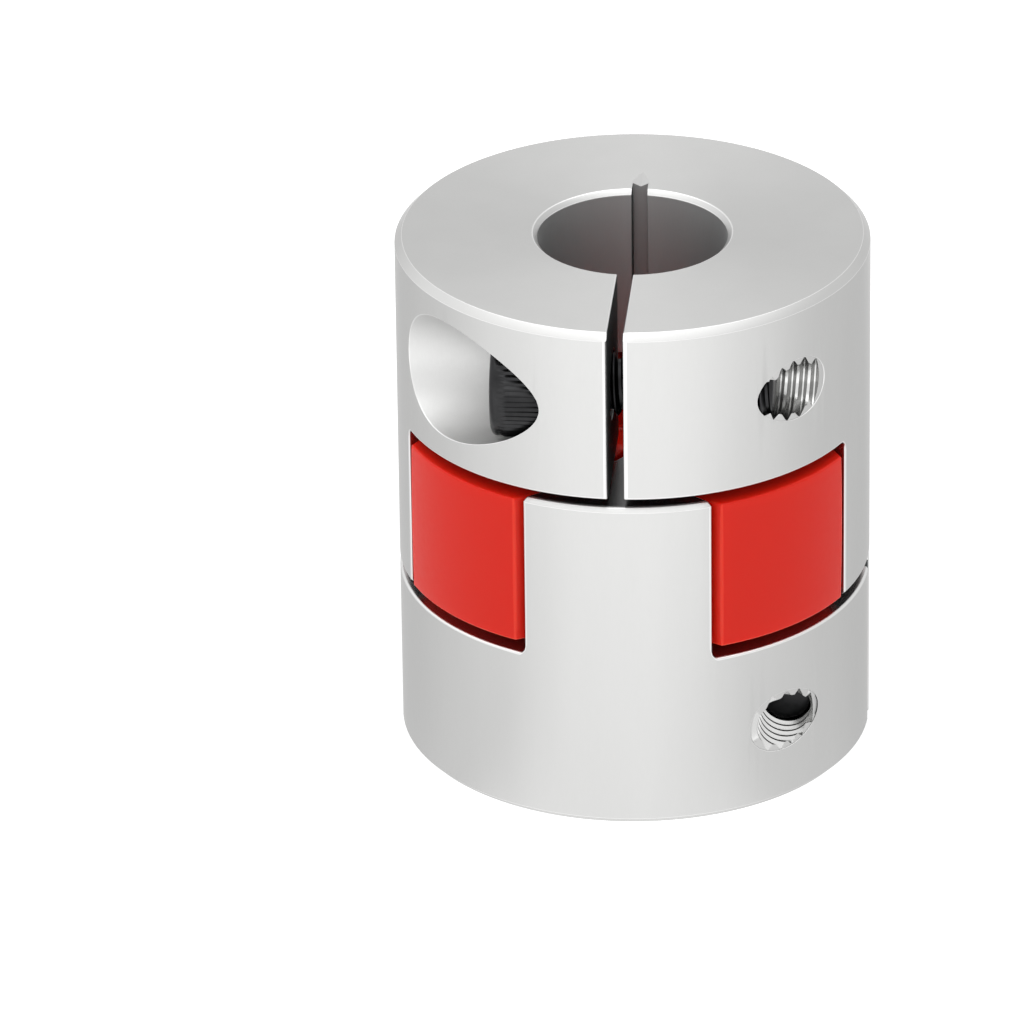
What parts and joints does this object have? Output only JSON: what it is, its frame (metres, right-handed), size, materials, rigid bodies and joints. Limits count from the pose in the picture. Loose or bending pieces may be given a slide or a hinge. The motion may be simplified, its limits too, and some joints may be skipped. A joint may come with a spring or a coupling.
{
  "type": "jaw coupling",
  "caption": "Zero-backlash jaw coupling: clamp hubs with interlocking jaws round a red elastomer spider, each hub split and closed by a cross screw.",
  "frame": {"origin": "centre of the lower hub's end face, on the shaft axis", "axes": "+Z along the shaft axis towards the upper hub; the upper hub's slit faces -Y and the lower hub's slit faces +X"},
  "size_m": [0.03, 0.03, 0.0344],
  "materials": {
    "anodised_hub": "clear anodised, fine turned satin",
    "red_spider": "smooth moulded elastomer, satin",
    "black_screw": "black oxide, lightly oiled"
  },
  "bodies": {
    "lower_half": {"lower_hub": "anodised_hub"},
    "insert": {"spider": "red_spider"},
    "upper_half": {"upper_hub": "anodised_hub"},
    "lower_screw": {"lower_clamp_screw": "black_screw"},
    "upper_screw": {"upper_clamp_screw": "black_screw"}
  },
  "joints": [
    {"name": "spider_pull_out", "type": "slide", "parent": "lower_half", "child": "insert", "axis": [0, 0, 1], "range_m": [0, 0.0115]},
    {"name": "upper_hub_pull_off", "type": "slide", "parent": "insert", "child": "upper_half", "axis": [0, 0, 1], "range_m": [0, 0.0115]},
    {"name": "lower_clamp_screw_turn", "type": "hinge", "parent": "lower_half", "child": "lower_screw", "pos_m": [0.0102, 0.0041, 0.0057], "axis": [0, -1, 0], "range_deg": [-360, 90]},
    {"name": "upper_clamp_screw_turn", "type": "hinge", "parent": "upper_half", "child": "upper_screw", "pos_m": [-0.0041, -0.0102, 0.0287], "axis": [1, 0, 0], "range_deg": [-360, 90]}
  ]
}
